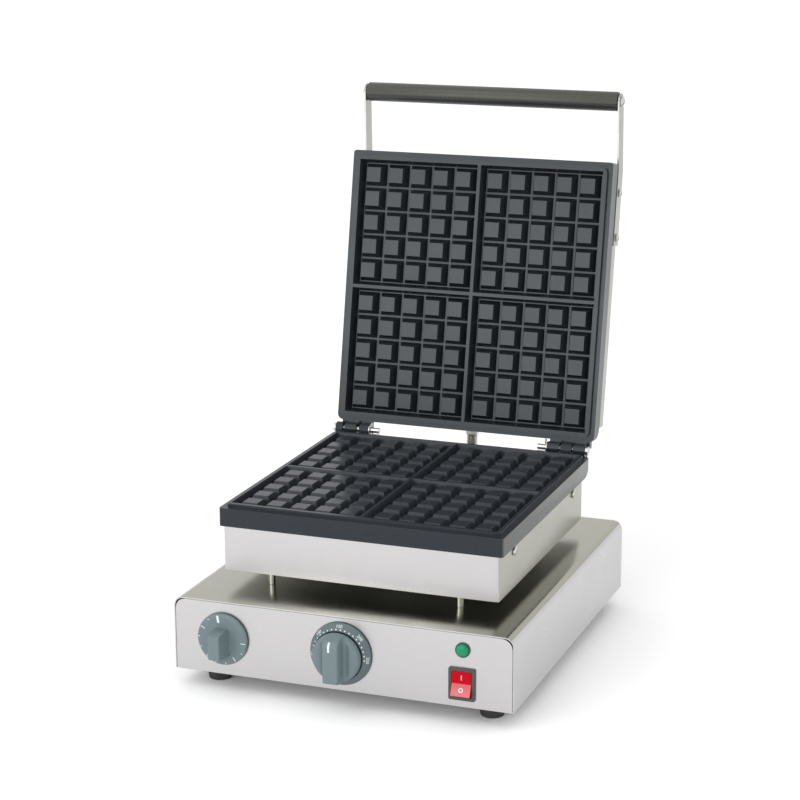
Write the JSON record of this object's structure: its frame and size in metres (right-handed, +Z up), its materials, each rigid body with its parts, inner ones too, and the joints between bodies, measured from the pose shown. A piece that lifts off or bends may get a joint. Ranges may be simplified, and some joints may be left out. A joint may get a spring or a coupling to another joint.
{
  "type": "belgian waffle iron",
  "caption": "Belgian waffle iron: steel control base with feet, fixed lower casting on columns, and a hinged lid with a matching casting and a bar handle.",
  "frame": {"origin": "centre of the bounding box, on the plane that the feet stand on, with the lid open as in the picture", "axes": "+X to the right as seen from the front, +Y to the back, +Z up"},
  "size_m": [0.338, 0.4784, 0.5279],
  "materials": {
    "stainless": "brushed",
    "cast_black": "matt non-stick coating",
    "foot_rubber": "matt",
    "grip_plastic": "matt",
    "knob_grey": "satin",
    "lens_green": "gloss",
    "black_plastic": "matt",
    "rocker_red": "gloss",
    "zinc": "zinc plated",
    "heater_steel": "heat tinted",
    "ceramic": "unglazed"
  },
  "bodies": {
    "base": {"base_conduit_gland": "zinc", "base_cover": "stainless", "column_front_left": "stainless", "column_front_right": "stainless", "column_rear_left": "stainless", "column_rear_right": "stainless", "cotter_pin_left": "zinc", "cotter_pin_right": "zinc", "floor_plate": "stainless", "foot_front_left": "foot_rubber", "foot_front_right": "foot_rubber", "foot_rear_left": "foot_rubber", "foot_rear_right": "foot_rubber", "foot_screw_front_left": "zinc", "foot_screw_front_right": "zinc", "foot_screw_rear_left": "zinc", "foot_screw_rear_right": "zinc", "front_panel": "stainless", "hinge_pin_left": "zinc", "hinge_pin_right": "zinc", "hinge_washer_left": "zinc", "hinge_washer_right": "zinc", "lead_conduit": "stainless", "lower_clamp_plate": "zinc", "lower_heater": "heater_steel", "lower_plate": "cast_black", "lower_shroud": "stainless", "mains_gland": "black_plastic", "pilot_holder": "black_plastic", "pilot_lens": "lens_green", "rear_panel": "stainless", "shroud_screw_left_front": "zinc", "shroud_screw_left_rear": "zinc", "shroud_screw_right_front": "zinc", "shroud_screw_right_rear": "zinc", "switch_housing": "black_plastic", "terminal_block": "ceramic", "thermostat_body": "zinc", "thermostat_bulb": "zinc", "thermostat_dial": "knob_grey", "timer_body": "zinc"},
    "lid": {"arm_screw_left_front": "zinc", "arm_screw_left_rear": "zinc", "arm_screw_right_front": "zinc", "arm_screw_right_rear": "zinc", "grip_screw_left": "zinc", "grip_screw_right": "zinc", "handle_arm_left": "stainless", "handle_arm_right": "stainless", "handle_grip": "grip_plastic", "lid_conduit_gland": "zinc", "upper_clamp_plate": "zinc", "upper_cover": "stainless", "upper_heater": "heater_steel", "upper_plate": "cast_black"},
    "timer": {"timer_knob": "knob_grey"},
    "thermostat": {"thermostat_knob": "knob_grey"},
    "rocker": {"switch_rocker": "rocker_red"}
  },
  "joints": [
    {"name": "lid_hinge", "type": "hinge", "parent": "base", "child": "lid", "pos_m": [0, 0.13352, 0.1695], "axis": [1, 0, 0], "range_deg": [0, 101], "deforming": ["lead_conduit"]},
    {"name": "timer_turn", "type": "hinge", "parent": "base", "child": "timer", "pos_m": [-0.118, -0.20968, 0.0531], "axis": [0, 1, 0], "range_deg": [0, 300]},
    {"name": "thermostat_turn", "type": "hinge", "parent": "base", "child": "thermostat", "pos_m": [0.0016, -0.20968, 0.0539], "axis": [0, 1, 0], "range_deg": [-90, 90]},
    {"name": "rocker_tilt", "type": "hinge", "parent": "base", "child": "rocker", "pos_m": [0.1197, -0.20838, 0.0397], "axis": [1, 0, 0], "range_deg": [0, 22]}
  ]
}
